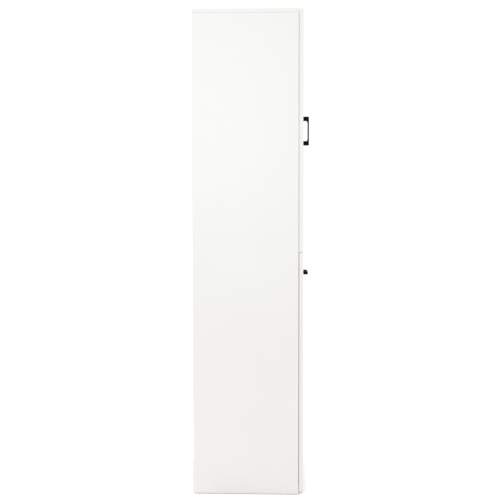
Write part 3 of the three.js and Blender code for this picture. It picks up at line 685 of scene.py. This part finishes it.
CAP_INSET_X = 30 * MM
CAP_INSET_Y = 60 * MM
CAP_INSET_TOP = 34 * MM
divider_low, divider_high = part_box("divider_shelf")
inner_x, side_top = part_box("side_panel_right")[0].x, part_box("side_panel_right")[1].z
for label, side in (("left", -1), ("right", 1)):
    x = side * (inner_x - CAP_INSET_X)
    for row, y in (("front", divider_low.y + CAP_INSET_Y), ("rear", divider_high.y - CAP_INSET_Y)):
        cap(f"cam_cap_divider_{row}_{label}", (x, y, divider_low.z), (0, 0, -1))
        cap(f"cam_cap_bottom_{row}_{label}", (x, y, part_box("bottom_panel")[0].z), (0, 0, -1))
        cap(f"cam_cap_top_{row}_{label}", (side * inner_x, y, side_top - CAP_INSET_TOP), (-side, 0, 0))

NAIL_RADIUS = 1.7 * MM
NAIL_HEIGHT = 0.5 * MM
NAIL_PITCH = 94 * MM
NAILS = 4  # in each row


def nail_head():
    dome = [(0, 1), (0.7, 0.9), (1, 0.4), (1, 0), (0, 0)]  # shares of the radius and the height
    return revolved([(radius * NAIL_RADIUS, level * NAIL_HEIGHT) for radius, level in dome], segments=20)


back_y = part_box("back_panel")[1].y
for row, board in (("middle", "divider_shelf"), ("bottom", "bottom_panel")):
    for number in range(NAILS):
        made = nail_head()
        seat = ((number - (NAILS - 1) / 2) * NAIL_PITCH, back_y, middle(board).z)
        bmesh.ops.transform(made, matrix=aimed((0, 1, 0), seat), verts=made.verts)
        finish_piece(f"back_nail_{row}_{number + 1}", made, "carcass", NICKEL)


# ---------------------------------------------------------------- CAD fittings that stay
FITTINGS = (  # how a node's name starts, its material, and the rounding of its edges
    ("hinge_arm", NICKEL, 0.5 * MM, 2),
    ("hinge_plate", NICKEL, 0.5 * MM, 2),
    ("wall_bracket", NICKEL, 0.5 * MM, 2),
    ("hinge_cup", NICKEL, 0.2 * MM, 2),
    ("hinge_link", NICKEL, 0.2 * MM, 2),
    ("flap_hinge", NICKEL, 0.2 * MM, 2),
    ("strike_plate", NICKEL, 0.2 * MM, 2),
    ("shelf_pin", NICKEL, 0.2 * MM, 2),
    ("foot_glide", GREY_PLASTIC, 0.4 * MM, 2),
    ("stop_", GREY_PLASTIC, 0.8 * MM, 3),
    ("magnetic_catch", WHITE_PLASTIC, 0.8 * MM, 3),
)
for start, material, width, segments in FITTINGS:
    for node in NODES:
        if node.startswith(start):
            dress(node, material, width, segments)


# ---------------------------------------------------------------- floor, light and camera
FLOOR_RADIUS = 30  # metres
WHITE_LIGHT = (1, 1, 1, 1)


def floor():
    made = bmesh.new()
    bmesh.ops.create_circle(made, cap_ends=True, segments=96, radius=FLOOR_RADIUS)
    mesh = bpy.data.meshes.new("floor")
    made.to_mesh(mesh)
    made.free()
    plane = bpy.data.objects.new("floor", mesh)
    scene.collection.objects.link(plane)
    glow = {"Emission_Color": WHITE_LIGHT, "Emission_Strength": 0.08}
    surface = Surface("studio_floor", Specular_IOR_Level=0.1, **glow)
    surface.color(surface.mottled(2, (0.95, 0.95, 0.95), (0.94, 0.94, 0.94)))
    surface.roughness(surface.between(surface.noise(5), 0.8, 0.9))
    mesh.materials.append(surface.material)


def light(name, kind, place, target, energy, **settings):
    """A light at a place in metres, looking at a target."""
    data = bpy.data.lights.new(name, kind)
    data.energy = energy
    for key, value in settings.items():
        setattr(data, key, value)
    lamp = bpy.data.objects.new(name, data)
    lamp.location = place
    lamp.rotation_mode = "QUATERNION"
    lamp.rotation_quaternion = (Vector(target) - Vector(place)).to_track_quat("-Z", "Y")
    scene.collection.objects.link(lamp)


floor()
world = bpy.data.worlds.new("studio")
scene.world = world
world.use_nodes = True
background = world.node_tree.nodes["Background"]
background.inputs["Color"].default_value = WHITE_LIGHT
background.inputs["Strength"].default_value = 1.0
COOL = (0.75, 0.88, 1.0)
light("sun_soft", "SUN", (-2, -0.3, 4.4), (0, 0, 0), 0.22, angle=math.radians(50))
light("side_softbox", "AREA", (-1.7, 0.35, 1.65), (-0.2, 0.02, 1.6), 6.4, color=COOL, size=0.9)
light("front_softbox", "AREA", (0.6, -2.8, 2.3), (0, -0.2, 1.2), 13, size=1.2)
light("back_softbox", "AREA", (0.15, 1.0, 1.5), (0.1, 0.45, 0), 2.0, size=0.6, spread=math.radians(90))
scene.view_settings.view_transform = "Standard"
scene.view_settings.look = "None"

FOCAL = 44.28
CAMERA_AWAY = 2.4  # from the near side panel
CAMERA_Y = -0.1315
CAMERA_Z = 1.0621
PITCH = math.radians(1.6)
YAW = math.radians(1.5)
SHIFT = (-0.0368, -0.015)  # of the picture from the lens axis, in widths of the picture

data = bpy.data.cameras.new("camera")
data.sensor_width = 36
data.lens = FOCAL
data.shift_x, data.shift_y = SHIFT
camera = bpy.data.objects.new("camera", data)
camera.location = (CAD_BOX[0][0] - CAMERA_AWAY, CAMERA_Y, CAMERA_Z)
aim = Vector((math.cos(PITCH) * math.cos(YAW), math.cos(PITCH) * math.sin(YAW), -math.sin(PITCH)))
camera.rotation_mode = "QUATERNION"
camera.rotation_quaternion = aim.to_track_quat("-Z", "Y")
scene.collection.objects.link(camera)
scene.camera = camera
